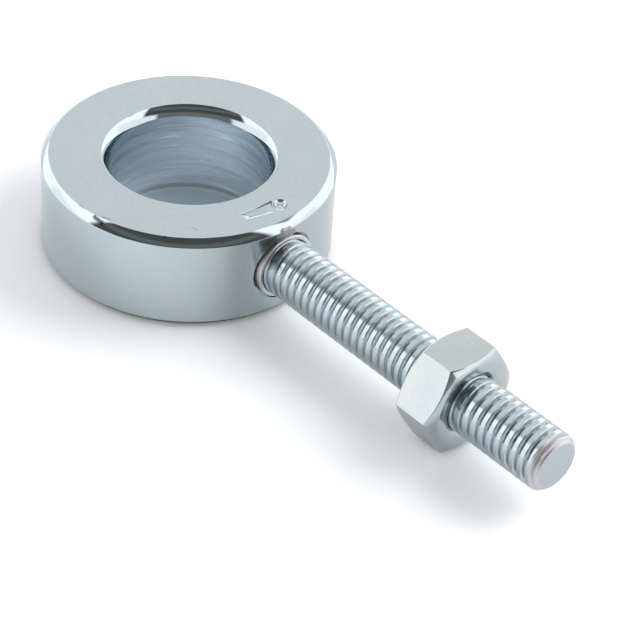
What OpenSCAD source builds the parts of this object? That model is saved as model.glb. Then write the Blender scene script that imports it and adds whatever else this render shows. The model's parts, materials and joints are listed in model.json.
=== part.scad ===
// Chain adjuster: a turned eye for the wheel axle, a threaded stud that
// screws into its rim, and a hexagon nut that runs along the stud.
// Millimetres. The origin is the middle of the eye, +Z runs along its bore
// and +X along the stud, towards its free end.

/* [Eye ring] */
// Outer diameter of the eye
ring_d = 30; // [27:0.5:40]
// Diameter of the bore that takes the wheel axle
bore_d = 16.3; // [10:0.1:17]
// Width of the eye along its bore
ring_w = 10.6; // [10:0.2:16]
// Chamfer round both outer edges
rim_chamfer = 0.75; // [0.3:0.05:1]
// Width of the chamfer round both mouths of the bore
bore_chamfer = 0.75; // [0.3:0.05:1]
// Height of the chamfer round both mouths of the bore
bore_chamfer_h = 1.05; // [0.3:0.05:1.5]

/* [Thread] */
// Major diameter of the stud's thread
thread_d = 6; // [5:0.5:6.5]
// Pitch of the thread
thread_pitch = 1; // [0.8:0.05:1.25]

/* [Threaded stud] */
// Height of the stud's axis above the eye's lower face
stud_height = 5.5; // [5:0.1:5.6]
// Length of stud that stands out of the eye
stud_reach = 37; // [32:1:60]
// Chamfer at both ends of the stud
stud_chamfer = 0.65; // [0.4:0.05:1]
// Metal left between the stud's hole and the bore
hole_floor = 0.8; // [0.5:0.1:1.2]
// Countersink at the mouth of the stud's hole
hole_mouth = 0.2; // [0.1:0.05:0.25]
// Outer diameter of the lip round the stud's hole
lip_d = 6.9; // [6.85:0.05:7.2]
// Height by which the lip stands out of the rim
lip_h = 0.2; // [0.05:0.05:0.25]
// Outer diameter of the ring groove round the lip
groove_d = 7.45; // [7.4:0.05:7.8]
// Depth of the ring groove
groove_depth = 1.1; // [0.7:0.1:1.5]

/* [Hexagon nut] */
// Width of the nut across its flats
nut_flats = 10; // [9:0.5:12]
// Height of the nut along the stud
nut_h = 5; // [4:0.1:6]
// Gap between the eye and the nut where the nut stands
nut_gap = 21.3; // [1:0.1:26]
// Circle that the nut's end chamfers leave, as a share of its width across flats
nut_face = 0.9; // [0.85:0.01:0.98]
// Countersink at both mouths of the nut
nut_mouth = 0.45; // [0.2:0.05:0.6]

/* [Stamped mark] */
// Length of the oblong recess
mark_l = 3.7; // [2:0.1:4]
// Width of the oblong recess
mark_w = 1.25; // [0.6:0.05:1.6]
// Depth of the oblong recess
mark_depth = 0.15; // [0.05:0.05:0.3]
// Diameter of the round punch dimple
dimple_d = 1.6; // [0.8:0.1:2]
// Depth of the round punch dimple
dimple_depth = 0.35; // [0.1:0.05:0.5]

/* [Hidden] */

ZINC_RING = [0.72, 0.77, 0.80];
ZINC_STUD = [0.70, 0.74, 0.77];
ZINC_NUT = [0.76, 0.80, 0.82];

// Radial clearance between a thread's crests and the hole it runs in
thread_clearance = 0.05;
// Room left between the stud's inner end and the end of its thread hole
end_gap = 0.1;
// Overrun of a cutting shape past the face that it cuts
cut = 1;
// Length by which the lip reaches into the ring behind its groove
lip_root = 0.5;

ring_r = ring_d / 2;
bore_r = bore_d / 2;
thread_r = thread_d / 2;
hole_r = thread_r + thread_clearance;
stud_z = stud_height - ring_w / 2;
stud_tip_x = ring_r + stud_reach;

// Sixty-degree thread form, in shares of the pitch
CREST_FLAT = 1 / 8;
THREAD_DEPTH = 0.6134;
flank_run = THREAD_DEPTH * tan(30);
root_r = thread_r - THREAD_DEPTH * thread_pitch;
// Each knot of the form: place along one pitch, radius
thread_form = [
    [0, root_r],
    [1 - CREST_FLAT - 2 * flank_run, root_r],
    [1 - CREST_FLAT - flank_run, thread_r],
    [1 - flank_run, thread_r]
];
// Flat sides round one turn of the thread
turn_sides = 18;

// The tap drill leaves a cone of 118 degrees at the end of the hole
DRILL_HALF_ANGLE = 59;
drill_r = thread_r - thread_pitch / 2;
drill_cone_h = drill_r / tan(DRILL_HALF_ANGLE);
hole_end_x = bore_r + hole_floor + drill_cone_h;
stud_start_x = hole_end_x + end_gap;

nut_x = ring_r + nut_gap;
nut_corner_r = nut_flats / 2 / cos(30);
nut_face_r = nut_face * nut_flats / 2;
nut_chamfer_h = (nut_corner_r - nut_face_r) * tan(30);

// The mark stands beside the stud, a little outside the wall's middle line
mark_out = 0.25;
dimple_out = 0.3;
mark_r = (bore_r + ring_r) / 2 + mark_out;
mark_angle = -6;
mark_tilt = -7;
dimple_angle = 7;

// Puts a shape drawn along +Z onto the stud's axis, along +X
module along_stud(x)
    translate([x, 0, stud_z])
        rotate([0, 90, 0])
            children();

// Half section of the eye: radius, height
module ring_section()
    polygon([
        [bore_r + bore_chamfer, 0],
        [ring_r - rim_chamfer, 0],
        [ring_r, rim_chamfer],
        [ring_r, ring_w - rim_chamfer],
        [ring_r - rim_chamfer, ring_w],
        [bore_r + bore_chamfer, ring_w],
        [bore_r, ring_w - bore_chamfer_h],
        [bore_r, bore_chamfer_h]
    ]);

// Blind hole for the stud, drilled and tapped from the rim
module stud_hole() {
    along_stud(hole_end_x)
        cylinder(r = hole_r, h = ring_r - hole_end_x + cut, $fn = 96);
    along_stud(hole_end_x - drill_cone_h)
        cylinder(r1 = 0, r2 = drill_r, h = drill_cone_h, $fn = 96);
    along_stud(ring_r + lip_h - hole_mouth)
        cylinder(r1 = hole_r, r2 = hole_r + hole_mouth + cut, h = hole_mouth + cut, $fn = 96);
}

// Ring groove that parts the lip from the rest of the rim
module lip_groove()
    along_stud(ring_r - groove_depth)
        cylinder(d = groove_d, h = groove_depth + cut, $fn = 96);

// Lip round the stud's hole, a little proud of the rim
module lip()
    along_stud(ring_r - groove_depth - lip_root)
        cylinder(d = lip_d, h = groove_depth + lip_root + lip_h, $fn = 96);

// Oblong recess and round dimple, stamped into the upper face
module stamped_mark() {
    rotate([0, 0, mark_angle])
        translate([mark_r, 0, ring_w / 2])
            rotate([0, 0, mark_tilt - mark_angle])
                cube([mark_w, mark_l, 2 * mark_depth], center = true);
    rotate([0, 0, dimple_angle])
        translate([mark_r + dimple_out, 0, ring_w / 2 - dimple_depth])
            cylinder(d1 = dimple_d / 2, d2 = dimple_d, h = dimple_depth, $fn = 48);
}

module eye_ring()
    color(ZINC_RING)
        difference() {
            union() {
                difference() {
                    translate([0, 0, -ring_w / 2])
                        rotate_extrude($fn = 192)
                            ring_section();
                    lip_groove();
                }
                lip();
            }
            stud_hole();
            stamped_mark();
        }

// A point of the thread's surface, length l along its axis, radius r at
// height z: past an end it lies on that end's flat face, closer to the middle
function on_rod(r, z, l) =
    let (end_r = thread_r - stud_chamfer)
    z < 0 ? [end_r + z * end_r / 2, 0]
    : z > l ? [end_r - (z - l) * end_r / 2, l]
    : [min(r, end_r + min(z, l - z)), z];

function around(p, angle) = [p[0] * cos(angle), p[0] * sin(angle), p[1]];

// Threaded rod of length l. Rows of knots stand round the helix; the last
// knot of a row is the first knot of the row one turn later.
module threaded_rod(l) {
    knots = len(thread_form);
    rows = ceil((l / thread_pitch + 1) * turn_sides);
    function height(row) = (row / turn_sides - 1) * thread_pitch;
    function knot(row, k) =
        around(on_rod(thread_form[k][1], height(row) + thread_form[k][0] * thread_pitch, l),
            row * 360 / turn_sides);
    function id(row, k) =
        k == knots ? id(row + turn_sides, 0)
        : row <= rows ? knots * row + k
        : knots * (rows + 1) + row - rows - 1;
    points = concat(
        [for (row = [0 : rows], k = [0 : knots - 1]) knot(row, k)],
        [for (row = [rows + 1 : rows + turn_sides]) knot(row, 0)]
    );
    side = [
        for (row = [0 : rows - 1], k = [0 : knots - 1], half = [0, 1])
            half == 0
            ? [id(row, k), id(row, k + 1), id(row + 1, k)]
            : [id(row, k + 1), id(row + 1, k + 1), id(row + 1, k)]
    ];
    // Each end is a spiral outline, filled by a fan from one of its points
    start_line = concat(
        [for (k = [0 : knots - 1]) id(0, k)],
        [for (row = [turn_sides : -1 : 1]) id(row, 0)]
    );
    end_line = concat(
        [for (k = [knots - 1 : -1 : 0]) id(rows, k)],
        [for (row = [rows + 1 : rows + turn_sides]) id(row, 0)]
    );
    start_fan = id(round(turn_sides * 3 / 4), 0);
    end_fan = id(rows + round(turn_sides / 4), 0);
    function fan(line, apex) = [
        for (i = [0 : len(line) - 1])
            let (a = line[i], b = line[(i + 1) % len(line)])
            if (a != apex && b != apex) [apex, b, a]
    ];
    polyhedron(points, concat(side, fan(start_line, start_fan), fan(end_line, end_fan)));
}

module threaded_stud()
    color(ZINC_STUD)
        along_stud(stud_start_x)
            threaded_rod(stud_tip_x - stud_start_x);

// Half section of the nut's turned ends: the corners fall away at 30 degrees
module nut_section()
    polygon([
        [0, 0],
        [nut_face_r, 0],
        [nut_corner_r, nut_chamfer_h],
        [nut_corner_r, nut_h - nut_chamfer_h],
        [nut_face_r, nut_h],
        [0, nut_h]
    ]);

// Bore of the nut with a countersink at each mouth
module nut_bore() {
    translate([0, 0, -cut])
        cylinder(r = hole_r, h = nut_h + 2 * cut, $fn = 96);
    for (turned = [0, 1])
        translate([0, 0, turned * nut_h])
            rotate([turned * 180, 0, 0])
                translate([0, 0, -cut])
                    cylinder(r1 = hole_r + nut_mouth + cut, r2 = hole_r, h = nut_mouth + cut, $fn = 96);
}

// Plain hexagon nut, one flat upwards
module hex_nut()
    color(ZINC_NUT)
        along_stud(nut_x)
            difference() {
                intersection() {
                    rotate([0, 0, 30])
                        cylinder(r = nut_corner_r, h = nut_h, $fn = 6);
                    rotate_extrude($fn = 96)
                        nut_section();
                }
                nut_bore();
            }

eye_ring();
threaded_stud();
hex_nut();
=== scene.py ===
"""Looks of a chain adjuster: a turned eye, a threaded stud and a hexagon nut in bright zinc plate.

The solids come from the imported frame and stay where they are. Each operator dresses one piece, and the
last one sets up the floor, the light and the camera. Lengths are in metres.
"""

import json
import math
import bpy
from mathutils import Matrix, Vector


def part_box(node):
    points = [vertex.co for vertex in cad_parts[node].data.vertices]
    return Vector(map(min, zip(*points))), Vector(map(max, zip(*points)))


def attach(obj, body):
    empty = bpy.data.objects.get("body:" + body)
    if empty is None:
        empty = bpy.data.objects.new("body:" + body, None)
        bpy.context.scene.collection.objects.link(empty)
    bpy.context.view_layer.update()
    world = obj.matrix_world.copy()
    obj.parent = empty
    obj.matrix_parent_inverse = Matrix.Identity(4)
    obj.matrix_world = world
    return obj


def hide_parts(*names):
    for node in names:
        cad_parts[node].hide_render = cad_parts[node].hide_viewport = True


bl_info = {
    "name": "Chain Adjuster",
    "version": (1, 0, 0),
    "blender": (4, 5, 0),
    "location": "3D View > Sidebar > Adjuster",
    "description": "Dresses a chain adjuster in bright zinc plate and sets up its studio",
    "category": "Add Mesh",
}

import bpy
import numpy as np
from bpy.props import FloatProperty, FloatVectorProperty, IntProperty, PointerProperty
from mathutils import Matrix, Vector

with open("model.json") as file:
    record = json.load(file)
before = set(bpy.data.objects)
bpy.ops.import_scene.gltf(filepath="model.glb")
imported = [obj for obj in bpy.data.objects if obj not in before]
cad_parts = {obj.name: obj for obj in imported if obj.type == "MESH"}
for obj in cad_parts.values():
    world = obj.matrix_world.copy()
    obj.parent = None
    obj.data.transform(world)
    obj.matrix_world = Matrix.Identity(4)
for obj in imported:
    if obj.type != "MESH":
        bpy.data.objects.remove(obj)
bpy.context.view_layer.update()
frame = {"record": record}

MM = 0.001
TURN = 2 * math.pi

# Sizes that the solids give
EYE_LOW, EYE_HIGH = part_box("eye_ring")
STUD_LOW, STUD_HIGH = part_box("threaded_stud")
NUT_LOW, NUT_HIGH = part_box("hex_nut")
MOUNTS = {mount["name"]: mount for mount in frame["record"]["mounts"]}
EYE_RADIUS = -EYE_LOW.x
FLOOR_LEVEL = EYE_LOW.z
BORE_RADIUS = MOUNTS["axle_bore"]["dims"]["r_mm"] * MM
THREAD_RADIUS = (STUD_HIGH.z - STUD_LOW.z) / 2
STUD_HEIGHT = (STUD_HIGH.z + STUD_LOW.z) / 2
STUD_LENGTH = STUD_HIGH.x - STUD_LOW.x
NUT_FLAT_RADIUS = (NUT_HIGH.z - NUT_LOW.z) / 2

# Room round the stud's crests in its hole, and between its inner end and the end of the hole
HOLE_ROOM = 0.05 * MM
HOLE_END_ROOM = 0.1 * MM
# Room between the hole and the inside of the lip, and how far the lip reaches into the eye
LIP_ROOM = 0.02 * MM
LIP_ROOT = 0.5 * MM
# How far a cutter reaches past what it cuts
OVERRUN = 1 * MM
# Flat sides of what is turned round the stud's axis
HOLE_SIDES = 128
# Turns by which the tap is longer than the nut at each end
TAP_OVERRUN = 2

# Zones of the eye's plate, which its faces carry as attributes
ZONES = ("polish", "bored", "foot_shade_and_burr", "raw")
# Upward share of a face's normal: a wall has less than the first, a flat face more than the second, and a
# face of the foot that gets painted shade more than the third, downwards
WALL_SLOPE = 0.25
FLAT_SLOPE = 0.97
FOOT_SLOPE = 0.1
# How wide and how high the chamfers' zones are, how large the foot's is, and by how much a face may stray
EDGE_WIDTH = 1.0 * MM
EDGE_HEIGHT = 1.3 * MM
FOOT_SIZE = 0.9 * MM
ZONE_PLAY = 0.01 * MM
# How near to its section a turned point lies
ON_SECTION = 0.004 * MM

# The burr: degrees round the stud's axis where it starts and over which it runs, its distance from that
# axis, how far it is sunk into the rim, and how wide and how thick it is for each unit of size
BURR_START = 68
BURR_SWEEP = 44
BURR_RADIUS = 3.9 * MM
BURR_SINK = 0.2 * MM
BURR_WIDTH = 1.9
BURR_THICKNESS = 0.8
# Size of the burr in millimetres, and the share of its length where it has that size
BURR_LUMPS = [
    (0.0, 0.0), (0.2, 0.1), (0.3, 0.24), (0.38, 0.38), (0.35, 0.5), (0.43, 0.64), (0.34, 0.84), (0.0, 1.0)]

# Colours of the raw lip, of the cut tip, of the dark that paints shade on the foot, darkens the burr and
# fills the nicks, and of the painted shade on the floor inside the bore
RAW_STEEL = (0.74, 0.735, 0.72, 1.0)
CUT_STEEL = (0.66, 0.655, 0.67, 1.0)
SHADE_NICK_BURR_DARK = (0.1, 0.105, 0.11, 1.0)
BORE_FLOOR_PAINTED_SHADE = (0.62, 0.76, 0.83, 1.0)
# Distance between the fine ridges on the stud's tip
RIDGE_STEP = 0.32 * MM
# How many times as close the rings of tool marks are on a wall as on a flat face
WALL_RINGS = 1.7

# Half the floor's width, and how much brighter than its colour the camera sees it
FLOOR_REACH = 6.0
FLOOR_LIFT = 1.22
# The soft lamp: how far round from the camera, how high over the floor, how far off and how wide
LAMP_TURN = math.radians(108)
LAMP_HEIGHT = math.radians(42)
LAMP_DISTANCE = 0.34
LAMP_SIZE = 0.28

# Regions of the studio: degrees off the camera's side and degrees over the floor, each as low edge, high
# edge and softness, and then the brightness. The first lies under the soft boxes, the others over them.
SIDE_DIM = ((90.0, 130.0, 4.0), (36.0, 52.0, 2.5), 0.42)
LOW_BOX = ((54.0, 112.0, 3.0), (-10.0, 24.0, 4.0), 1.45)
BACK_BOX = ((150.0, 190.0, 4.0), (-10.0, 25.0, 4.0), 2.0)
DARK_ROOM = ((-90.0, 71.0, 3.0), (26.0, 74.0, 2.5), 0.1)
LOW_GAP = ((-90.0, 51.0, 3.0), (-20.0, 28.0, 2.0), 0.23)
PALE_STRIP = ((-90.0, 66.0, 6.0), (40.0, 49.0, 1.5), 0.19)
BOX_LEVEL = 1.75

# Small nicks and scratches of the eye: start, end and half width in millimetres
NICKS = [
    ((2.7, -14.15, 5.1), (3.7, -14.1, 5.0), 0.3),
    ((3.2, -13.75, 5.3), (4.1, -13.35, 5.3), 0.04),
    ((9.25, -10.9, 5.2), (9.4, -10.8, 5.3), 0.09),
    ((9.81, -7.86, 5.3), (10.39, -7.72, 5.3), 0.025),
    ((1.0, 9.02, 5.2), (1.1, 9.0, 5.3), 0.07),
]


class EyeSettings(bpy.types.PropertyGroup):
    """Sizes of the turned eye that the solids leave plain"""

    rim_chamfer: FloatProperty(
        name="Rim chamfer", description="Chamfer round both outer edges",
        default=0.75 * MM, min=0.0, unit="LENGTH", precision=5)
    bore_chamfer: FloatProperty(
        name="Bore chamfer", description="Width of the chamfer round both mouths of the bore",
        default=0.75 * MM, min=0.0, unit="LENGTH", precision=5)
    bore_chamfer_height: FloatProperty(
        name="Bore chamfer height", description="Height of the chamfer round both mouths of the bore",
        default=1.05 * MM, min=0.0, unit="LENGTH", precision=5)
    edge_round: FloatProperty(
        name="Edge round", description="Radius that plating leaves on each turned edge",
        default=0.08 * MM, min=0.0, unit="LENGTH", precision=5)
    chamfer_crown: FloatProperty(
        name="Chamfer crown", description="Angle by which a polished rim chamfer curves at each side",
        default=math.radians(7), min=0.0, subtype="ANGLE")
    bore_crown: FloatProperty(
        name="Bore chamfer crown", description="Angle by which a bore chamfer curves at each side",
        default=math.radians(12), min=0.0, subtype="ANGLE")
    segments: IntProperty(
        name="Segments", description="Flat sides round the eye", default=384, min=48)
    groove_radius: FloatProperty(
        name="Mouth groove radius", description="Outer radius of the ring groove round the stud's hole",
        default=3.72 * MM, min=0.0, unit="LENGTH", precision=5)
    lip_radius: FloatProperty(
        name="Lip radius", description="Outer radius of the lip that stands in the groove",
        default=3.45 * MM, min=0.0, unit="LENGTH", precision=5)
    lip_height: FloatProperty(
        name="Lip height", description="How far the lip stands out of the eye's rim",
        default=0.2 * MM, min=0.0, unit="LENGTH", precision=5)
    groove_depth: FloatProperty(
        name="Mouth groove depth", description="Depth of the ring groove, from the eye's rim",
        default=1.1 * MM, min=0.0, unit="LENGTH", precision=5)
    mark_depth: FloatProperty(
        name="Mark depth", description="Depth of the stamped oblong",
        default=0.3 * MM, min=0.0, unit="LENGTH", precision=5)
    dimple_depth: FloatProperty(
        name="Dimple depth", description="Depth of the punched bowl beside the oblong",
        default=0.3 * MM, min=0.0, unit="LENGTH", precision=5)


class StudSettings(bpy.types.PropertyGroup):
    """Sizes of the rolled thread"""

    pitch: FloatProperty(
        name="Pitch", description="Length of one turn of the thread",
        default=1.0 * MM, min=0.0002, unit="LENGTH", precision=5)
    depth: FloatProperty(
        name="Depth", description="Depth of the thread from crest to root",
        default=0.42 * MM, min=0.0, unit="LENGTH", precision=5)
    crest: FloatProperty(
        name="Crest flat", description="Share of the pitch that the crest's flat takes",
        default=0.45, min=0.0, max=0.6, subtype="FACTOR")
    roundness: FloatProperty(
        name="Roundness", description="How far the flanks run smoothly into crest and root",
        default=0.75, min=0.0, max=1.0, subtype="FACTOR")
    chamfer: FloatProperty(
        name="End chamfer", description="By how much the radius falls at both ends of the stud",
        default=0.65 * MM, min=0.0, unit="LENGTH", precision=5)
    chamfer_run: FloatProperty(
        name="End chamfer run", description="Length over which the radius falls, in a curve",
        default=0.9 * MM, min=0.0, unit="LENGTH", precision=5)
    segments: IntProperty(
        name="Segments", description="Flat sides round one turn", default=64, min=12)
    knots: IntProperty(
        name="Knots", description="Faces across one turn of the thread", default=14, min=6)
    start_angle: FloatProperty(
        name="Start angle", description="Turn of the whole thread about the stud's axis",
        default=math.pi, subtype="ANGLE")


class NutSettings(bpy.types.PropertyGroup):
    """Sizes of the hexagon nut that the solids leave plain"""

    corner_round: FloatProperty(
        name="Corner round", description="Radius of the six upright edges",
        default=0.18 * MM, min=0.0, unit="LENGTH", precision=5)
    edge_round: FloatProperty(
        name="Edge round", description="Radius of the turned edges",
        default=0.14 * MM, min=0.0, unit="LENGTH", precision=5)
    face_share: FloatProperty(
        name="Face share", description="Radius of each flat end, as a share of half the width across flats",
        default=0.9, min=0.5, max=1.0, subtype="FACTOR")
    chamfer_crown: FloatProperty(
        name="Chamfer crown", description="Angle by which the end chamfers curve at each side",
        default=math.radians(12), min=0.0, subtype="ANGLE")
    mouth: FloatProperty(
        name="Countersink", description="Depth of the countersink at both ends of the bore",
        default=0.5 * MM, min=0.0, unit="LENGTH", precision=5)
    play: FloatProperty(
        name="Thread play", description="Room between the nut's thread and the stud's",
        default=0.06 * MM, min=0.0, unit="LENGTH", precision=5)


class FinishSettings(bpy.types.PropertyGroup):
    """Colours and gloss of the zinc plate"""

    blue_zinc: FloatVectorProperty(
        name="Blue zinc", description="Main colour of the plate",
        default=(0.495, 0.568, 0.602), size=3, min=0.0, max=1.0, subtype="COLOR")
    green_zinc: FloatVectorProperty(
        name="Green zinc", description="Colour of the faint greenish clouds",
        default=(0.505, 0.572, 0.585), size=3, min=0.0, max=1.0, subtype="COLOR")
    violet_zinc: FloatVectorProperty(
        name="Violet zinc", description="Colour of the faint violet clouds",
        default=(0.515, 0.56, 0.6), size=3, min=0.0, max=1.0, subtype="COLOR")
    nut_zinc: FloatVectorProperty(
        name="Nut zinc", description="Colour of the nut's plate, which is less blue",
        default=(0.555, 0.597, 0.597), size=3, min=0.0, max=1.0, subtype="COLOR")
    # The bore's plate is bluer and brighter than the rest: painted light for the light bounced between the
    # zinc walls
    bore_bounce_zinc: FloatVectorProperty(
        name="Bore zinc", description="Colour of the plate in the bore, which is bluer",
        default=(0.64, 0.755, 0.83), size=3, min=0.0, max=1.0, subtype="COLOR")
    flat_roughness: FloatProperty(
        name="Flat roughness", description="Roughness of faces and walls",
        default=0.17, min=0.0, max=1.0, subtype="FACTOR")
    chamfer_roughness: FloatProperty(
        name="Chamfer roughness", description="Roughness of polished chamfers",
        default=0.06, min=0.0, max=1.0, subtype="FACTOR")


class StageSettings(bpy.types.PropertyGroup):
    """Camera, floor and light"""

    azimuth: FloatProperty(
        name="Azimuth", description="Turn of the camera round the object",
        default=math.radians(44.730), subtype="ANGLE")
    elevation: FloatProperty(
        name="Elevation", description="Height of the camera over the floor, as an angle",
        default=math.radians(39.014), subtype="ANGLE")
    roll: FloatProperty(
        name="Roll", description="Turn of the camera about its own axis",
        default=math.radians(4.984), subtype="ANGLE")
    distance: FloatProperty(
        name="Distance", description="From the aim point to the camera",
        default=232.4 * MM, min=0.01, unit="LENGTH", precision=4)
    aim: FloatVectorProperty(
        name="Aim", description="Point that the camera looks at",
        default=(13.68 * MM, 6.92 * MM, -11.11 * MM), size=3, subtype="TRANSLATION", precision=5)
    lens: FloatProperty(
        name="Lens", description="Focal length in millimetres on a 36 mm sensor",
        default=125.436, min=10.0)
    floor_colour: FloatVectorProperty(
        name="Floor colour", description="Colour of the pale floor",
        default=(0.905, 0.92, 0.935), size=3, min=0.0, max=1.0, subtype="COLOR")
    dome_level: FloatProperty(
        name="Dome level", description="Strength of the even light from all round",
        default=1.05, min=0.0)
    lamp_level: FloatProperty(
        name="Lamp level", description="Strength of the large soft lamp, in watts",
        default=0.62, min=0.0)


GROUPS = {
    "adjuster_eye": EyeSettings,
    "adjuster_stud": StudSettings,
    "adjuster_nut": NutSettings,
    "adjuster_finish": FinishSettings,
    "adjuster_stage": StageSettings,
}


# Node trees
class Tree:
    """Adds nodes to a tree with short calls"""

    def __init__(self, tree):
        self.nodes = tree.nodes
        self.links = tree.links

    def add(self, kind, inputs=None, **settings):
        """A node, with its inputs set by name or number, to a value or to another node's output"""
        node = self.nodes.new(kind)
        for name, value in settings.items():
            setattr(node, name, value)
        for key, value in (inputs or {}).items():
            if isinstance(value, bpy.types.NodeSocket):
                self.links.new(value, node.inputs[key])
            else:
                node.inputs[key].default_value = value
        return node

    def math(self, operation, *values):
        """A sum of numbers and outputs"""
        node = self.add("ShaderNodeMath", dict(enumerate(values)), operation=operation)
        return node.outputs[0]

    def ramp(self, value, low, high, start=0.0, end=1.0, curve="LINEAR"):
        """Runs from start to end while value runs from low to high"""
        inputs = {"Value": value, "From Min": low, "From Max": high, "To Min": start, "To Max": end}
        return self.add("ShaderNodeMapRange", inputs, interpolation_type=curve).outputs[0]

    def blend(self, share, first, second):
        """A mix of two numbers"""
        return self.add("ShaderNodeMix", {0: share, 2: first, 3: second}, data_type="FLOAT").outputs[0]

    def blend_colour(self, share, first, second):
        """A mix of two colours"""
        return self.add("ShaderNodeMix", {0: share, 6: first, 7: second}, data_type="RGBA").outputs[2]

    def window(self, value, low, high, soft):
        """One between low and high, zero outside, with edges that are soft either way"""
        rise = self.ramp(value, low - soft, low + soft, 0.0, 1.0, "SMOOTHSTEP")
        fall = self.ramp(value, high - soft, high + soft, 1.0, 0.0, "SMOOTHSTEP")
        return self.math("MULTIPLY", rise, fall)

    def vector(self, operation, first, second=None):
        """A sum of vectors, or the number that it gives. SCALE takes a number second."""
        inputs = {0: first}
        if second is not None:
            inputs[3 if operation == "SCALE" else 1] = second
        outputs = self.add("ShaderNodeVectorMath", inputs, operation=operation).outputs
        return outputs["Value" if operation in ("DOT_PRODUCT", "DISTANCE", "LENGTH") else "Vector"]

    def noise(self, place, scale, detail, distortion=0.0):
        """Cloudy noise from zero to one"""
        inputs = {"Vector": place, "Scale": scale, "Detail": detail, "Distortion": distortion}
        return self.add("ShaderNodeTexNoise", inputs).outputs["Fac"]

    def bump(self, strength, distance, height, normal=None):
        """A normal bent by a height, on top of an earlier bump where one is given"""
        inputs = {"Strength": strength, "Distance": distance, "Height": height}
        if normal is not None:
            inputs["Normal"] = normal
        return self.add("ShaderNodeBump", inputs).outputs[0]


# Materials
def new_material(name):
    """An empty material, its tree and its surface output"""
    material = bpy.data.materials.new(name)
    material.use_nodes = True
    material.node_tree.nodes.clear()
    tree = Tree(material.node_tree)
    return material, tree, tree.add("ShaderNodeOutputMaterial")


def metal(tree, output, colour, rough, normal):
    """Bare metal as the material's surface"""
    surface = tree.add("ShaderNodeBsdfPrincipled", {
        "Base Color": colour, "Metallic": 1.0, "Roughness": rough, "Normal": normal})
    tree.links.new(surface.outputs[0], output.inputs["Surface"])


def zinc_colour(tree, place, finish, base):
    """Zinc of one colour with faint clouds of green and violet, and fine specks"""
    green = tree.ramp(tree.noise(place, 210.0, 3.0), 0.42, 0.62, 0.0, 0.8)
    violet = tree.ramp(tree.noise(place, 330.0, 2.0, 0.6), 0.5, 0.68, 0.0, 0.6)
    bright = tree.ramp(tree.noise(place, 2600.0, 3.0), 0.3, 0.7, 0.98, 1.02)
    colour = tree.blend_colour(green, (*base, 1.0), (*finish.green_zinc, 1.0))
    colour = tree.blend_colour(violet, colour, (*finish.violet_zinc, 1.0))
    return tree.vector("SCALE", colour, bright)


def turning_marks(tree, place, rings_per_metre, streak):
    """Noise drawn out round the eye's axis, as a cutting tool leaves it"""
    x, y, z = tree.add("ShaderNodeSeparateXYZ", {0: place}).outputs
    radius = tree.math("SQRT", tree.math("ADD", tree.math("POWER", x, 2.0), tree.math("POWER", y, 2.0)))
    track = tree.math("MULTIPLY", tree.math("MULTIPLY_ADD", z, WALL_RINGS, radius), rings_per_metre)
    drawn = tree.add("ShaderNodeCombineXYZ", {
        0: tree.math("MULTIPLY", x, streak), 1: tree.math("MULTIPLY", y, streak), 2: track})
    return tree.noise(drawn.outputs[0], 1.0, 4.0)


def scratches(tree, place):
    """One on each of the small nicks and scratches of the eye, zero off them"""
    wave = tree.noise(place, 4000.0, 2.0)
    ragged = tree.math("MULTIPLY", tree.math("SUBTRACT", wave, 0.5), 0.25 * MM)
    found = 0.0
    for start, end, width in NICKS:
        start, end = Vector(start) * MM, Vector(end) * MM
        line = end - start
        offset = tree.vector("SUBTRACT", place, start)
        along = tree.vector("DOT_PRODUCT", offset, line / line.length_squared)
        share = tree.add("ShaderNodeClamp", {0: along}).outputs[0]
        away = tree.vector("DISTANCE", offset, tree.vector("SCALE", line, share))
        away = tree.math("ADD", away, ragged)
        found = tree.math("MAXIMUM", found, tree.ramp(away, width * MM, 0.4 * width * MM))
    return found


def turned_zinc(finish):
    """Turned faces with faint tool marks, polished chamfers, a coarser bore with painted bounce light, and
    painted shade on the lower edge
    """
    material, tree, output = new_material("turned_zinc")
    place = tree.add("ShaderNodeTexCoord").outputs["Object"]
    polish, bored, foot_shade_and_burr, raw = [
        tree.add("ShaderNodeAttribute", attribute_name=zone).outputs["Fac"] for zone in ZONES]
    marks = turning_marks(tree, place, 9000.0, 260.0)
    scores = turning_marks(tree, place, 620.0, 90.0)
    lines = turning_marks(tree, place, 2600.0, 160.0)
    cloud = tree.noise(place, 260.0, 4.0)
    nicks = scratches(tree, place)

    colour = zinc_colour(tree, place, finish, finish.blue_zinc)
    # The bore's plate painted bluer and brighter for bounced light, with streaks from the boring
    bore_tone = tree.math(
        "MULTIPLY", tree.ramp(scores, 0.35, 0.65, 0.92, 1.08), tree.ramp(lines, 0.6, 0.72, 1.0, 1.5))
    colour = tree.blend_colour(bored, colour, tree.vector("SCALE", finish.bore_bounce_zinc, bore_tone))
    colour = tree.blend_colour(raw, colour, RAW_STEEL)
    # Painted shade on the foot, a partial darkening of the burr and the dark of the nicks, all from one dark
    # colour
    colour = tree.blend_colour(tree.math("MAXIMUM", foot_shade_and_burr, nicks), colour, SHADE_NICK_BURR_DARK)

    flat = tree.ramp(cloud, 0.35, 0.65, finish.flat_roughness * 0.85, finish.flat_roughness * 1.15)
    rough = tree.blend(polish, flat, finish.chamfer_roughness)
    rough = tree.blend(bored, rough, tree.ramp(scores, 0.4, 0.65, 0.2, 0.34))
    rough = tree.blend(tree.math("MAXIMUM", foot_shade_and_burr, raw), rough, 0.4)
    fine = tree.bump(tree.blend(polish, 0.04, 0.02), 0.02 * MM, marks)
    rolling = tree.bump(tree.blend(polish, 0.1, 0.05), 0.08 * MM, cloud, fine)
    scored = tree.bump(tree.math("MULTIPLY", bored, 0.5), 0.25 * MM, scores, rolling)
    metal(tree, output, colour, rough, scored)
    return material


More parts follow.
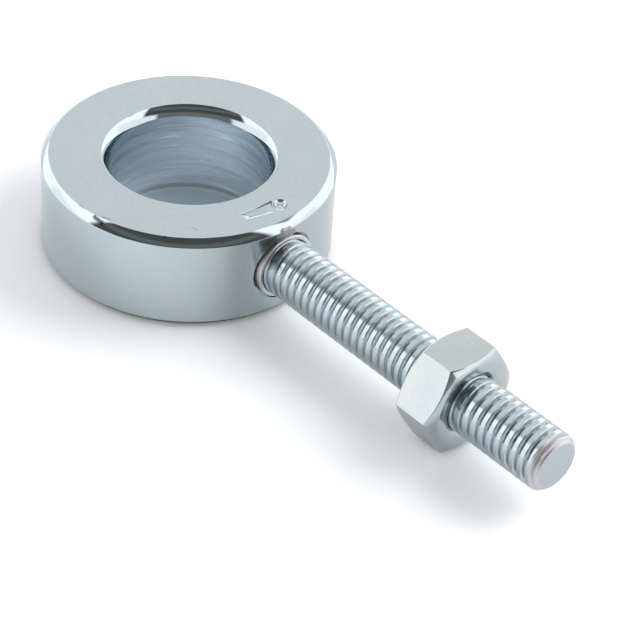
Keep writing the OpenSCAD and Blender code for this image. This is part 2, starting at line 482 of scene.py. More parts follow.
def rolled_zinc(finish):
    """Thread surface: bright rolled crests with a fine grain, and a raw cut tip"""
    material, tree, output = new_material("rolled_zinc")
    place = tree.add("ShaderNodeTexCoord").outputs["Object"]
    grain = tree.noise(place, 3200.0, 3.0)
    wave = tree.noise(place, 900.0, 2.0)
    along = tree.add("ShaderNodeSeparateXYZ", {0: place}).outputs[0]
    tip = tree.ramp(along, STUD_HIGH.x - 1.2 * MM, STUD_HIGH.x - 0.7 * MM)
    end = tree.ramp(along, STUD_HIGH.x - 0.02 * MM, STUD_HIGH.x - 0.01 * MM)
    cone = tree.math("SUBTRACT", tip, end)
    colour = tree.blend_colour(cone, zinc_colour(tree, place, finish, finish.blue_zinc), CUT_STEEL)
    rough = tree.blend(cone, tree.ramp(wave, 0.3, 0.7, 0.1, 0.22), 0.5)
    ridges = tree.math("SINE", tree.math("MULTIPLY", along, TURN / RIDGE_STEP))
    fine = tree.bump(0.12, 0.02 * MM, grain)
    rolling = tree.bump(0.3, 0.08 * MM, wave, fine)
    ridged = tree.bump(tree.math("MULTIPLY", cone, 0.5), 0.05 * MM, ridges, rolling)
    metal(tree, output, colour, rough, ridged)
    return material


def pressed_zinc(finish):
    """Nut surface: smooth pressed flats with a faint rolling wave"""
    material, tree, output = new_material("pressed_zinc")
    place = tree.add("ShaderNodeTexCoord").outputs["Object"]
    grain = tree.noise(place, 2400.0, 3.0)
    wave = tree.noise(place, 500.0, 2.0)
    fine = tree.bump(0.06, 0.02 * MM, grain)
    rolling = tree.bump(0.3, 0.1 * MM, wave, fine)
    colour = zinc_colour(tree, place, finish, finish.nut_zinc)
    metal(tree, output, colour, tree.ramp(grain, 0.3, 0.7, 0.12, 0.18), rolling)
    return material


# Meshes
def new_object(name, mesh):
    """An object at the origin that shows the mesh"""
    piece = bpy.data.objects.new(name, mesh)
    bpy.context.scene.collection.objects.link(piece)
    return piece


def bake_modifiers(piece):
    """Turns a piece's evaluated form into its plain mesh"""
    graph = bpy.context.evaluated_depsgraph_get()
    mesh = bpy.data.meshes.new_from_object(piece.evaluated_get(graph))
    piece.modifiers.clear()
    piece.data = mesh


def plate(piece, material):
    """Gives the whole piece one material"""
    piece.data.materials.clear()
    piece.data.materials.append(material)


def combine(piece, others, operation):
    """Cuts each of the others out of the piece, or adds it, and then deletes it"""
    for other in others:
        boolean = piece.modifiers.new("combine", "BOOLEAN")
        boolean.operation = operation
        boolean.solver = "MANIFOLD"
        boolean.object = other
    bake_modifiers(piece)
    for other in others:
        mesh = other.data
        bpy.data.objects.remove(other)
        bpy.data.meshes.remove(mesh)


def loft(name, rings):
    """A closed skin over rings that all have as many points, in a loop of their own"""
    count, size = len(rings), len(rings[0])
    faces = []
    for i in range(count):
        for k in range(size):
            after, beside = (i + 1) % count, (k + 1) % size
            faces.append((i * size + k, after * size + k, after * size + beside, i * size + beside))
    mesh = bpy.data.meshes.new(name)
    mesh.from_pydata([point for ring in rings for point in ring], [], faces)
    return new_object(name, mesh)


def on_z(radius, height, angle):
    """A point round the Z axis"""
    return (radius * math.cos(angle), radius * math.sin(angle), height)


def on_stud(radius, place, angle):
    """A point round the stud's axis"""
    return (place, radius * math.cos(angle), STUD_HEIGHT + radius * math.sin(angle))


def turned_ring(name, section, segments, spot):
    """A ring turned from a closed section of (radius, place) points, in the order that turns faces outwards"""
    angles = [TURN * i / segments for i in range(segments)]
    return loft(name, [[spot(r, place, angle) for r, place in section] for angle in angles])


def turned_solid(name, profile, segments, spot):
    """A solid turned from (radius, place) points; the first and the last of them lie on its axis"""
    rows = profile[1:-1]
    points = [spot(0.0, profile[0][1], 0.0), spot(0.0, profile[-1][1], 0.0)]
    points += [spot(r, h, TURN * i / segments) for i in range(segments) for r, h in rows]
    faces = []
    for i in range(segments):
        here, beside = 2 + i * len(rows), 2 + (i + 1) % segments * len(rows)
        faces.append((0, beside, here))
        faces.append((1, here + len(rows) - 1, beside + len(rows) - 1))
        for k in range(len(rows) - 1):
            faces.append((here + k, beside + k, beside + k + 1, here + k + 1))
    mesh = bpy.data.meshes.new(name)
    mesh.from_pydata(points, [], faces)
    return new_object(name, mesh)


def rounded_section(corners, crowns, radius, steps=4, crown_steps=6):
    """Points and normals of a closed convex outline with round corners. crowns gives, for each edge from a
    corner to the next, the angle by which the edge curves outwards at each of its ends."""
    corners = [Vector(corner) for corner in corners]
    count = len(corners)
    edges = [(corners[(i + 1) % count] - corners[i]).normalized() for i in range(count)]
    headings = [math.atan2(-edge.x, edge.y) + math.pi / 2 for edge in edges]
    # The angle by which the outline turns at each corner
    turns = [
        ((headings[i] - crowns[i]) - (headings[i - 1] + crowns[i - 1])) % TURN for i in range(count)]
    points, normals = [], []
    for i in range(count):
        crown, turn = crowns[i], turns[(i + 1) % count]
        trim, end_trim = radius * math.tan(turns[i] / 2), radius * math.tan(turn / 2)
        length = (corners[(i + 1) % count] - corners[i]).length
        outward = Vector((edges[i].y, -edges[i].x))
        pieces = crown_steps if crown else 1
        for k in range(pieces + 1):
            along = trim + (length - trim - end_trim) * k / pieces
            across = 2 * along / length - 1
            angle = crown * across
            rise = crown * length / 4 * (1 - across * across)
            points.append(corners[i] + edges[i] * along + outward * rise)
            normals.append(outward * math.cos(angle) + edges[i] * math.sin(angle))
        first = normals[-1]
        centre = points[-1] - first * radius
        for k in range(1, steps):
            side = Matrix.Rotation(turn * k / steps, 2) @ first
            points.append(centre + side * radius)
            normals.append(side)
    return points, normals


def nearest_on_section(places, points, normals):
    """For each (radius, height) place, the section's normal at its nearest point, and how far that is"""
    starts = np.array([tuple(p) for p in points])
    ends = np.roll(starts, -1, axis=0)
    lines = ends - starts
    lengths = np.maximum((lines ** 2).sum(1), 1e-18)
    start_normals = np.array([tuple(n) for n in normals])
    end_normals = np.roll(start_normals, -1, axis=0)
    best = np.full(len(places), 1e9)
    found = np.zeros((len(places), 2))
    for start, line, length, first, last in zip(starts, lines, lengths, start_normals, end_normals):
        share = np.clip(((places - start) @ line) / length, 0, 1)
        away = np.linalg.norm(places - start - share[:, None] * line, axis=1)
        near = away < best - 1e-9
        best[near] = away[near]
        found[near] = (first + share[:, None] * (last - first))[near]
    return found / np.linalg.norm(found, axis=1)[:, None], best


def mesh_values(items, key, width, kind=float):
    """A row of values for each vertex, corner or face of a mesh"""
    values = np.zeros(len(items) * width, kind)
    items.foreach_get(key, values)
    return values.reshape(-1, width)


def true_normals(piece, points, normals, widest):
    """Gives a turned piece the exact normals of its section, apart from faces that a cutter made"""
    mesh = piece.data
    corners = mesh_values(mesh.loops, "vertex_index", 1, int)[:, 0]
    places = mesh_values(mesh.vertices, "co", 3)
    totals = mesh_values(mesh.polygons, "loop_total", 1, int)[:, 0]
    of_face = np.repeat(mesh_values(mesh.polygons, "normal", 3), totals, axis=0)
    radius = np.hypot(places[:, 0], places[:, 1])
    flat, away = nearest_on_section(np.column_stack([radius, places[:, 2]]), points, normals)
    outward = places[:, :2] / np.maximum(radius, 1e-9)[:, None]
    exact = np.column_stack([outward * flat[:, :1], flat[:, 1]])[corners]
    keep = ((exact * of_face).sum(1) < math.cos(widest)) | (away[corners] > ON_SECTION)
    exact[keep] = of_face[keep]
    mesh.shade_smooth()
    mesh.normals_split_custom_set(exact.tolist())


# Eye
def eye_outline(eye):
    """Half section of the eye, outwards and up from the lower mouth of the bore"""
    low, high = EYE_LOW.z, EYE_HIGH.z
    corners = [
        (BORE_RADIUS + eye.bore_chamfer, low),
        (EYE_RADIUS - eye.rim_chamfer, low),
        (EYE_RADIUS, low + eye.rim_chamfer),
        (EYE_RADIUS, high - eye.rim_chamfer),
        (EYE_RADIUS - eye.rim_chamfer, high),
        (BORE_RADIUS + eye.bore_chamfer, high),
        (BORE_RADIUS, high - eye.bore_chamfer_height),
        (BORE_RADIUS, low + eye.bore_chamfer_height),
    ]
    rim, bore = eye.chamfer_crown, eye.bore_crown
    return corners, [0, rim, 0, rim, 0, bore, 0, bore]


def mark_zones(piece, eye):
    """Marks polished chamfers, bored wall, the foot's painted shade, the darkened burr, and raw lip and burr,
    for the material
    """
    mesh = piece.data
    shares = {zone: [] for zone in ZONES}
    for face in mesh.polygons:
        spot = face.center
        radius = math.hypot(spot.x, spot.y)
        corners = [mesh.vertices[i].co for i in face.vertices]
        off_stud = max(math.hypot(co.y, co.z - STUD_HEIGHT) for co in corners)
        proud = max(math.hypot(co.x, co.y) for co in corners) - EYE_RADIUS > ZONE_PLAY
        slope = abs(face.normal.z)
        at_burr = spot.x > 0 and off_stud > eye.lip_radius + 0.1 * MM and proud
        at_lip = spot.x > 0 and (off_stud < eye.lip_radius + ZONE_PLAY or proud)
        at_edge = radius < BORE_RADIUS + EDGE_WIDTH or radius > EYE_RADIUS - EDGE_WIDTH
        at_edge = at_edge and abs(spot.z) > EYE_HIGH.z - EDGE_HEIGHT and not at_lip
        at_foot = spot.z < EYE_LOW.z + FOOT_SIZE and radius > EYE_RADIUS - FOOT_SIZE
        at_foot = at_foot and -FLAT_SLOPE < face.normal.z < -FOOT_SLOPE
        shares["polish"].append(float(at_edge and WALL_SLOPE < slope < FLAT_SLOPE))
        shares["bored"].append(float(radius < BORE_RADIUS + 0.05 * MM and slope < WALL_SLOPE))
        # The foot gets painted shade, standing in for the contact shadow under the eye; the burr is darkened
        # partway
        shares["foot_shade_and_burr"].append(1.0 if at_foot else 0.6 if at_burr else 0.0)
        shares["raw"].append(float(at_lip))
    for zone in ZONES:
        mesh.attributes.new(zone, "FLOAT", "FACE").data.foreach_set("value", shares[zone])


def oblong_cutter(eye):
    """A block with sloping sides that stamps the oblong mark into the upper face, deeper at one end"""
    rim = [(10.91, -2.87), (11.95, -3.2), (12.72, 0.08), (11.14, 1.24)]
    floor = [(11.03, -2.2, 0.7), (11.55, -1.95, 1.0), (12.35, 0.24, 0.6), (11.22, 1.1, 0.5)]
    depth = eye.mark_depth / MM
    points = [(x, y, -share * depth) for x, y, share in floor]
    # The sides run on above the face, by three tenths of the mark's depth
    for (x, y), (u, v, share) in zip(rim, floor):
        over = 0.3 / share
        points.append((x + (x - u) * over, y + (y - v) * over, share * depth * over))
    faces = [(3, 2, 1, 0), (4, 5, 6, 7)] + [(i, (i + 1) % 4, (i + 1) % 4 + 4, i + 4) for i in range(4)]
    mesh = bpy.data.meshes.new("oblong")
    mesh.from_pydata([(x * MM, y * MM, EYE_HIGH.z + z * MM) for x, y, z in points], [], faces)
    return new_object("oblong", mesh)


def dimple_cutter(eye):
    """An oval punch with a dented tip, that leaves a bowl with a low dome in it"""
    section = [
        (0.0, -0.6), (0.2, -0.66), (0.36, -0.9), (0.5, -1.0), (0.64, -0.93),
        (0.78, -0.68), (0.9, -0.35), (1.0, 0.0), (1.08, 0.3), (0.0, 0.3)]
    profile = [(r * MM, EYE_HIGH.z + z * eye.dimple_depth) for r, z in section]
    cutter = turned_solid("dimple", profile, 64, on_z)
    # The oval's middle, and its two axes with the share of the section's radius that each takes
    middle = (12.15 * MM, 1.5 * MM)
    heading, long_share = Vector((0.717, -0.697)), 0.92
    across, short_share = Vector((0.697, 0.717)), 0.7
    for vertex in cutter.data.vertices:
        x, y = vertex.co.x, vertex.co.y
        spot = heading * x * long_share + across * y * short_share
        vertex.co.x = middle[0] + spot.x
        vertex.co.y = middle[1] + spot.y
    return cutter


def burr_spot(size, share, angle):
    """A point on the burr, which lies bent round the top of the stud's hole"""
    bend = math.radians(BURR_START + BURR_SWEEP * share)
    off_stud = BURR_RADIUS + BURR_WIDTH * size * math.sin(angle)
    return (
        EYE_RADIUS - BURR_SINK + BURR_THICKNESS * size * math.cos(angle),
        off_stud * math.cos(bend),
        STUD_HEIGHT + off_stud * math.sin(bend))


def build_eye(context):
    """The turned eye with the stud's hole, its lip, a burr over it and the stamped mark"""
    eye = context.scene.adjuster_eye
    corners, crowns = eye_outline(eye)
    points, normals = rounded_section(corners, crowns, eye.edge_round)
    piece = turned_ring("eye", points, eye.segments, on_z)
    hole_r = THREAD_RADIUS + HOLE_ROOM
    hole_end = STUD_LOW.x - HOLE_END_ROOM
    past_rim = EYE_RADIUS + OVERRUN
    groove_x = EYE_RADIUS - eye.groove_depth
    hole = turned_solid("stud_hole", [
        (0.0, hole_end), (hole_r, hole_end), (hole_r, past_rim), (0.0, past_rim)], HOLE_SIDES, on_stud)
    groove = turned_ring("mouth_groove", [
        (hole_r - OVERRUN, groove_x), (eye.groove_radius, groove_x),
        (eye.groove_radius, past_rim), (hole_r - OVERRUN, past_rim)], HOLE_SIDES, on_stud)
    lip_back, lip_front = groove_x - LIP_ROOT, EYE_RADIUS + eye.lip_height
    # The lip's outer corner is round
    lip = turned_ring("lip", [
        (hole_r + LIP_ROOM, lip_back), (eye.lip_radius, lip_back),
        (eye.lip_radius, lip_front - 0.14 * MM), (eye.lip_radius - 0.03 * MM, lip_front - 0.04 * MM),
        (eye.lip_radius - 0.12 * MM, lip_front), (hole_r + LIP_ROOM, lip_front)], HOLE_SIDES, on_stud)
    combine(piece, [hole, groove, oblong_cutter(eye), dimple_cutter(eye)], "DIFFERENCE")
    burr = turned_solid("burr", [(size * MM, share) for size, share in BURR_LUMPS], 9, burr_spot)
    combine(piece, [lip, burr], "UNION")
    true_normals(piece, points, normals, math.radians(25))
    mark_zones(piece, eye)
    return piece


# Thread
def thread_tree():
    """A tree that winds a thread along +X from sizes given at its inputs"""
    group = bpy.data.node_groups.new("rolled_thread", "GeometryNodeTree")
    sizes = {
        "Major Radius": ("NodeSocketFloat", THREAD_RADIUS),
        "Pitch": ("NodeSocketFloat", 1.0 * MM),
        "Depth": ("NodeSocketFloat", 0.6134 * MM),
        "Crest Share": ("NodeSocketFloat", 0.2),
        "Roundness": ("NodeSocketFloat", 0.5),
        "Length": ("NodeSocketFloat", STUD_LENGTH),
        "End Chamfer": ("NodeSocketFloat", 0.65 * MM),
        "Chamfer Run": ("NodeSocketFloat", 1.1 * MM),
        "Start": ("NodeSocketFloat", STUD_LOW.x),
        "Axis Height": ("NodeSocketFloat", STUD_HEIGHT),
        "Start Angle": ("NodeSocketFloat", 0.0),
        "Segments": ("NodeSocketInt", 64),
        "Knots": ("NodeSocketInt", 14),
        "Material": ("NodeSocketMaterial", None),
    }
    for name, (kind, default) in sizes.items():
        socket = group.interface.new_socket(name, in_out="INPUT", socket_type=kind)
        if default is not None:
            socket.default_value = default
    group.interface.new_socket("Geometry", in_out="OUTPUT", socket_type="NodeSocketGeometry")
    tree = Tree(group)
    given = tree.add("NodeGroupInput").outputs
    pitch, length, major = given["Pitch"], given["Length"], given["Major Radius"]
    segments, knots = given["Segments"], given["Knots"]

    # Rows stand round the helix, and each has one more point than knots
    turns = tree.math("ADD", tree.math("DIVIDE", length, pitch), 3.0)
    rows = tree.math("ADD", tree.math("CEIL", tree.math("MULTIPLY", turns, segments)), 1.0)
    row_size = tree.math("ADD", knots, 1.0)
    grid = tree.add("GeometryNodeMeshGrid", {"Vertices X": rows, "Vertices Y": row_size})
    index = tree.add("GeometryNodeInputIndex").outputs[0]
    row = tree.math("FLOOR", tree.math("DIVIDE", tree.math("ADD", index, 0.5), row_size))
    knot = tree.math("SUBTRACT", index, tree.math("MULTIPLY", row, row_size))
    across = tree.math("DIVIDE", knot, knots)
    wound = tree.math("DIVIDE", row, segments)
    along = tree.math("MULTIPLY", tree.math("ADD", tree.math("SUBTRACT", wound, 2.0), across), pitch)
    angle = tree.math("MULTIPLY_ADD", wound, TURN, given["Start Angle"])

    # Radius of the thread: flat crest, sloping flank, root
    off_crest = tree.math("ABSOLUTE", tree.math("SUBTRACT", across, 0.5))
    half_crest = tree.math("MULTIPLY", given["Crest Share"], 0.5)
    run = tree.math("DIVIDE", tree.math("MULTIPLY", given["Depth"], math.tan(math.radians(30))), pitch)
    foot = tree.math("ADD", half_crest, run)
    straight = tree.ramp(off_crest, half_crest, foot)
    smooth = tree.ramp(off_crest, half_crest, foot, 0.0, 1.0, "SMOOTHSTEP")
    sunk = tree.math("MULTIPLY", tree.blend(given["Roundness"], straight, smooth), given["Depth"])
    thread_r = tree.math("SUBTRACT", major, sunk)

    # Both ends: a chamfer, and past the end a flat face that closes at the axis
    end_r = tree.math("SUBTRACT", major, given["End Chamfer"])
    left = tree.math("SUBTRACT", length, along)
    inside = tree.math("MINIMUM", along, left)
    share = tree.ramp(inside, 0.0, given["Chamfer Run"])
    curve = tree.math("MULTIPLY", share, tree.math("SUBTRACT", 2.0, share))
    chamfer_r = tree.math("MULTIPLY_ADD", curve, given["End Chamfer"], end_r)
    past = tree.math("MINIMUM", inside, 0.0)
    face_share = tree.math("MAXIMUM", tree.math("ADD", tree.math("DIVIDE", past, pitch), 1.0), 0.0)
    radius = tree.math("MULTIPLY", tree.math("MINIMUM", thread_r, chamfer_r), face_share)
    held = tree.math("MINIMUM", tree.math("MAXIMUM", along, 0.0), length)
    place = tree.add("ShaderNodeCombineXYZ", {
        0: tree.math("ADD", given["Start"], held),
        1: tree.math("MULTIPLY", radius, tree.math("COSINE", angle)),
        2: tree.math("MULTIPLY_ADD", radius, tree.math("SINE", angle), given["Axis Height"]),
    })
    wound_grid = tree.add("GeometryNodeSetPosition", {
        "Geometry": grid.outputs["Mesh"], "Position": place.outputs[0]})
    closed = tree.add("GeometryNodeMergeByDistance", {
        "Geometry": wound_grid.outputs[0], "Distance": 0.002 * MM})
    smooth_faces = tree.add("GeometryNodeSetShadeSmooth", {"Geometry": closed.outputs[0]})
    real = tree.add("GeometryNodeRealizeInstances", {"Geometry": smooth_faces.outputs[0]})
    painted = tree.add("GeometryNodeSetMaterial", {
        "Geometry": real.outputs[0], "Material": given["Material"]})
    tree.add("NodeGroupOutput", {"Geometry": painted.outputs[0]})
    return group


def wind_thread(name, group, sizes):
    """A closed threaded rod as a plain mesh, with the tree's inputs set by name"""
    piece = new_object(name, bpy.data.meshes.new(name))
    modifier = piece.modifiers.new("thread", "NODES")
    modifier.node_group = group
    for item in group.interface.items_tree:
        if item.item_type == "SOCKET" and item.name in sizes:
            modifier[item.identifier] = sizes[item.name]
    bake_modifiers(piece)
    return piece


def thread_sizes(stud):
    """The inputs that the stud's thread and the nut's tap share"""
    return {
        "Pitch": stud.pitch,
        "Depth": stud.depth,
        "Crest Share": stud.crest,
        "Roundness": stud.roundness,
        "End Chamfer": stud.chamfer,
        "Chamfer Run": stud.chamfer_run,
        "Axis Height": STUD_HEIGHT,
        "Start Angle": stud.start_angle,
        "Segments": stud.segments,
        "Knots": stud.knots,
    }


def build_stud(context, group, material):
    """The threaded stud"""
    piece = wind_thread("stud", group, {
        **thread_sizes(context.scene.adjuster_stud),
        "Major Radius": THREAD_RADIUS,
        "Length": STUD_LENGTH,
        "Start": STUD_LOW.x,
        "Material": material,
    })
    piece.data.set_sharp_from_angle(angle=math.radians(33))
    return piece


# Nut
def hexagon_radii(across, corner_round, corner_steps=5, flat_steps=8, crowding=0.6):
    """Angles round a hexagon with round corners, first flat at angle 0, and the outline's radius there"""
    half_side = math.radians(30)
    corner_far = (across - corner_round) / math.cos(half_side)
    half_flat = (across - corner_round) * math.tan(half_side)
    centre = (corner_far * math.cos(half_side), corner_far * math.sin(half_side))
    outline = []
    for side in range(6):
        turned = math.radians(60 * side)
        for k in range(-flat_steps, flat_steps + 1):
            share = k / flat_steps
            outline.append((turned, across, half_flat * math.copysign(abs(share) ** crowding, share)))
        for k in range(1, corner_steps):
            swing = math.radians(60 * k / corner_steps)
            x, y = centre[0] + corner_round * math.cos(swing), centre[1] + corner_round * math.sin(swing)
            outline.append((turned, x, y))
    return [(turned + math.atan2(y, x), math.hypot(x, y)) for turned, x, y in outline]


def nut_outline(nut, outer, length, bore, mouth):
    """Half section of the nut at one angle, where its outline is that far out: (radius, place) corners"""
    face = nut.face_share * NUT_FLAT_RADIUS
    fall = (outer - face) * math.tan(math.radians(30))
    return [
        (bore, nut.mouth),
        (mouth, 0.0),
        (face, 0.0),
        (outer, fall),
        (outer, length - fall),
        (face, length),
        (mouth, length),
        (bore, length - nut.mouth),
    ]


def build_nut(context, group):
    """The hexagon nut, with the stud's thread cut out of it"""
    nut = context.scene.adjuster_nut
    stud = context.scene.adjuster_stud
    length = NUT_HIGH.x - NUT_LOW.x
    bore = THREAD_RADIUS - 0.54 * stud.pitch
    mouth = THREAD_RADIUS + 0.5 * MM
    crowns = [0, 0, nut.chamfer_crown, 0, nut.chamfer_crown, 0, 0, 0]
    rings = []
    for angle, outer in hexagon_radii(NUT_FLAT_RADIUS, nut.corner_round):
        corners = nut_outline(nut, outer, length, bore, mouth)
        points, _ = rounded_section(corners, crowns, nut.edge_round, steps=3)
        rings.append([
            (NUT_LOW.x + x, -r * math.sin(angle), STUD_HEIGHT + r * math.cos(angle)) for r, x in points])
    piece = loft("nut", rings)
    start = math.floor((NUT_LOW.x - STUD_LOW.x) / stud.pitch - TAP_OVERRUN) * stud.pitch
    tap = wind_thread("tap", group, {
        **thread_sizes(stud),
        "Major Radius": THREAD_RADIUS + nut.play,
        "Length": length + 2 * TAP_OVERRUN * stud.pitch,
        "Start": STUD_LOW.x + start,
    })
    combine(piece, [tap], "DIFFERENCE")
    piece.data.shade_smooth()
    piece.data.set_sharp_from_angle(angle=math.radians(35))
    weighted = piece.modifiers.new("weighted", "WEIGHTED_NORMAL")
    weighted.keep_sharp = True
    bake_modifiers(piece)
    return piece


# Stage
def sky_angles(tree, azimuth):
    """Degrees off the camera's side, and degrees over the floor, of a direction"""
    ray = tree.add("ShaderNodeTexCoord").outputs["Generated"]
    turned = tree.add("ShaderNodeVectorRotate", {
        "Vector": ray, "Angle": math.pi / 2 - azimuth}, rotation_type="Z_AXIS").outputs[0]
    x, y, z = tree.add("ShaderNodeSeparateXYZ", {0: turned}).outputs
    side = tree.math("DEGREES", tree.math("ARCTAN2", y, x))
    return tree.math("ABSOLUTE", side), tree.math("DEGREES", tree.math("ARCSINE", z))


def studio_light(tree, off_camera, height):
    """Brightness of the studio by direction, as polished metal mirrors it"""

    def lit(level, region):
        """The level, with one region at its own brightness"""
        across, upward, brightness = region
        share = tree.math("MULTIPLY", tree.window(off_camera, *across), tree.window(height, *upward))
        return tree.blend(share, level, brightness)

    # Even light at the back and overhead, dimmer at both sides above the soft boxes
    level = lit(tree.ramp(height, 50.0, 75.0, 1.0, 1.1, "SMOOTHSTEP"), SIDE_DIM)
    # Soft boxes at both sides, whose lower edge falls away towards the back
    edge = tree.math("MULTIPLY_ADD", tree.math("SUBTRACT", off_camera, 78.0), 0.6, height)
    top = tree.math("SUBTRACT", height, tree.ramp(off_camera, 94.0, 84.0, 0.0, 16.0))
    boxes = tree.math(
        "MULTIPLY",
        tree.window(off_camera, 72.0, 150.0, 4.0),
        tree.math("MULTIPLY", tree.ramp(top, 40.5, 36.5), tree.ramp(edge, 14.0, 24.0)))
    level = tree.blend(boxes, level, BOX_LEVEL)
    # Lower boxes, and the dark room behind the camera with a paler strip across it
    for region in (LOW_BOX, BACK_BOX, DARK_ROOM, LOW_GAP, PALE_STRIP):
        level = lit(level, region)
    return level


def build_world(stage):
    """Even light for the floor, a studio for the metal's reflections, white for the camera"""
    world = bpy.data.worlds.new("studio")
    world.use_nodes = True
    world.node_tree.nodes.clear()
    tree = Tree(world.node_tree)
    light_path = tree.add("ShaderNodeLightPath").outputs
    off_camera, height = sky_angles(tree, stage.azimuth)
    dome = tree.ramp(height, 45.0, 62.0, stage.dome_level, 0.35 * stage.dome_level)
    level = tree.blend(light_path["Is Glossy Ray"], dome, studio_light(tree, off_camera, height))
    clear = tree.math("MAXIMUM", light_path["Is Camera Ray"], light_path["Is Transmission Ray"])
    level = tree.blend(clear, level, 1.0)
    background = tree.add("ShaderNodeBackground", {"Color": (1.0, 1.0, 1.0, 1.0), "Strength": level})
    tree.add("ShaderNodeOutputWorld", {"Surface": background.outputs[0]})
    bpy.context.scene.world = world


def build_floor(stage):
    """A wide pale floor under the eye, which looks brighter to the camera, shows the camera painted shade
    inside the bore, and shows metal painted light at its left
    """
    mesh = bpy.data.meshes.new("floor")
    corners = ((-1, -1), (1, -1), (1, 1), (-1, 1))
    mesh.from_pydata(
        [(x * FLOOR_REACH, y * FLOOR_REACH, FLOOR_LEVEL) for x, y in corners], [], [(0, 1, 2, 3)])
    floor = new_object("floor", mesh)
    material, tree, output = new_material("pale_floor")
    light_path = tree.add("ShaderNodeLightPath").outputs
    place = tree.add("ShaderNodeTexCoord").outputs["Object"]
    radius = tree.vector("LENGTH", tree.vector("MULTIPLY", place, (1.0, 1.0, 0.0)))
    # Inside the bore the camera sees painted shade with a blue cast, in place of the lifted floor colour
    bore_shade_share = tree.ramp(radius, BORE_RADIUS + 0.8 * MM, BORE_RADIUS)
    bright = [FLOOR_LIFT * part for part in stage.floor_colour]
    seen = tree.blend_colour(bore_shade_share, (*bright, 1.0), BORE_FLOOR_PAINTED_SHADE)
    # Glossy rays see the floor's colour run from 1.2 times at the camera's left to 0.94 times at its right:
    # painted light for the metal to mirror
    camera_right = (math.cos(stage.azimuth), math.sin(stage.azimuth), 0.0)
    across = tree.vector("DOT_PRODUCT", place, camera_right)
    mirrored_painted_light = tree.vector("SCALE", stage.floor_colour, tree.ramp(across, -14 * MM, 24 * MM, 1.2, 0.94))
    colour = tree.blend_colour(light_path["Is Glossy Ray"], (*stage.floor_colour, 1.0), mirrored_painted_light)
    colour = tree.blend_colour(light_path["Is Camera Ray"], colour, seen)
    matt = tree.add("ShaderNodeBsdfDiffuse", {"Color": colour})
    tree.links.new(matt.outputs[0], output.inputs["Surface"])
    mesh.materials.append(material)


def build_lamp(stage):
    """One large soft lamp behind the object, on the camera's right"""
    lamp = bpy.data.lights.new("soft_lamp", "AREA")
    lamp.shape = "DISK"
    lamp.size = LAMP_SIZE
    lamp.energy = stage.lamp_level
    piece = bpy.data.objects.new("soft_lamp", lamp)
    bpy.context.scene.collection.objects.link(piece)
    bearing = stage.azimuth - math.pi / 2 + LAMP_TURN
    towards = Vector((
        math.cos(bearing) * math.cos(LAMP_HEIGHT),
        math.sin(bearing) * math.cos(LAMP_HEIGHT),
        math.sin(LAMP_HEIGHT)))
    piece.location = Vector(stage.aim) + towards * LAMP_DISTANCE
    piece.rotation_euler = towards.to_track_quat("Z", "Y").to_euler()
    piece.visible_glossy = False


def build_camera(stage):
    """The camera, aimed from its azimuth, elevation, roll and distance"""
    camera = bpy.data.objects.new("camera", bpy.data.cameras.new("camera"))
    bpy.context.scene.collection.objects.link(camera)
    camera.data.lens = stage.lens
    camera.data.sensor_width = 36.0
    camera.data.clip_start = 0.01
    turned = (
        Matrix.Rotation(stage.azimuth, 4, "Z")
        @ Matrix.Rotation(math.pi / 2 - stage.elevation, 4, "X")
        @ Matrix.Rotation(stage.roll, 4, "Z"))
    back = turned @ Vector((0.0, 0.0, 1.0))
    camera.matrix_world = Matrix.Translation(Vector(stage.aim) + back * stage.distance) @ turned
    bpy.context.scene.camera = camera


# Operators
class AdjusterOperator(bpy.types.Operator):
    """What every operator here shares"""

    bl_options = {"REGISTER", "UNDO"}

    def execute(self, context):
        """Builds the piece, and stops the script if it can't"""
        self.build(context)
        return {"FINISHED"}


class ADJUSTER_OT_eye(AdjusterOperator):
    """Turns the eye and gives it its zinc plate"""

    bl_idname = "adjuster.eye"
    bl_label = "Turned Eye"

    def build(self, context):
        """Makes the eye and sets it on its body"""
        piece = build_eye(context)
        plate(piece, turned_zinc(context.scene.adjuster_finish))
        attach(piece, "adjuster")
        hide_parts("eye_ring")


class ADJUSTER_OT_stud(AdjusterOperator):
    """Winds the stud's thread"""

    bl_idname = "adjuster.stud"
    bl_label = "Threaded Stud"

    def build(self, context):
        """Makes the stud and sets it on its body"""
        piece = build_stud(context, thread_tree(), rolled_zinc(context.scene.adjuster_finish))
        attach(piece, "adjuster")
        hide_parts("threaded_stud")


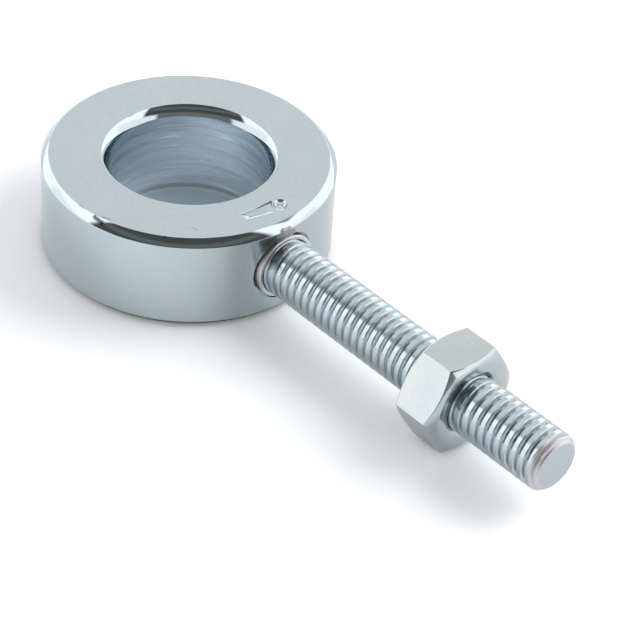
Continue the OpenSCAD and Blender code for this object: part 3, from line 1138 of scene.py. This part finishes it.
class ADJUSTER_OT_nut(AdjusterOperator):
    """Makes the hexagon nut and taps it"""

    bl_idname = "adjuster.nut"
    bl_label = "Hexagon Nut"

    def build(self, context):
        """Makes the nut and sets it on its body"""
        piece = build_nut(context, thread_tree())
        plate(piece, pressed_zinc(context.scene.adjuster_finish))
        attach(piece, "nut")
        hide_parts("hex_nut")


class ADJUSTER_OT_stage(AdjusterOperator):
    """Sets up the floor, the light and the camera"""

    bl_idname = "adjuster.stage"
    bl_label = "Studio"

    def build(self, context):
        """Makes what stands round the object"""
        stage = context.scene.adjuster_stage
        build_world(stage)
        build_floor(stage)
        build_lamp(stage)
        build_camera(stage)
        context.scene.view_settings.view_transform = "Standard"


OPERATORS = (ADJUSTER_OT_eye, ADJUSTER_OT_stud, ADJUSTER_OT_nut, ADJUSTER_OT_stage)


class ADJUSTER_PT_panel(bpy.types.Panel):
    """Lists the pieces, with the sizes that shape them"""

    bl_idname = "ADJUSTER_PT_panel"
    bl_label = "Chain Adjuster"
    bl_space_type = "VIEW_3D"
    bl_region_type = "UI"
    bl_category = "Adjuster"

    def draw(self, context):
        """One box for each operator's settings, and a button for each operator"""
        for name in GROUPS:
            box = self.layout.box()
            settings = getattr(context.scene, name)
            for key in settings.__annotations__:
                box.prop(settings, key)
        for operator in OPERATORS:
            self.layout.operator(operator.bl_idname)


CLASSES = (*GROUPS.values(), *OPERATORS, ADJUSTER_PT_panel)


def register():
    """Adds the classes and their settings"""
    for cls in CLASSES:
        bpy.utils.register_class(cls)
    for name, group in GROUPS.items():
        setattr(bpy.types.Scene, name, PointerProperty(type=group))


def unregister():
    """Takes the settings and the classes away again"""
    for name in GROUPS:
        delattr(bpy.types.Scene, name)
    for cls in reversed(CLASSES):
        bpy.utils.unregister_class(cls)


def main():
    """Builds every piece and the stage"""
    register()
    bpy.ops.adjuster.eye()
    bpy.ops.adjuster.stud()
    bpy.ops.adjuster.nut()
    bpy.ops.adjuster.stage()
    bpy.context.view_layer.update()


if __name__ == "__main__":
    main()
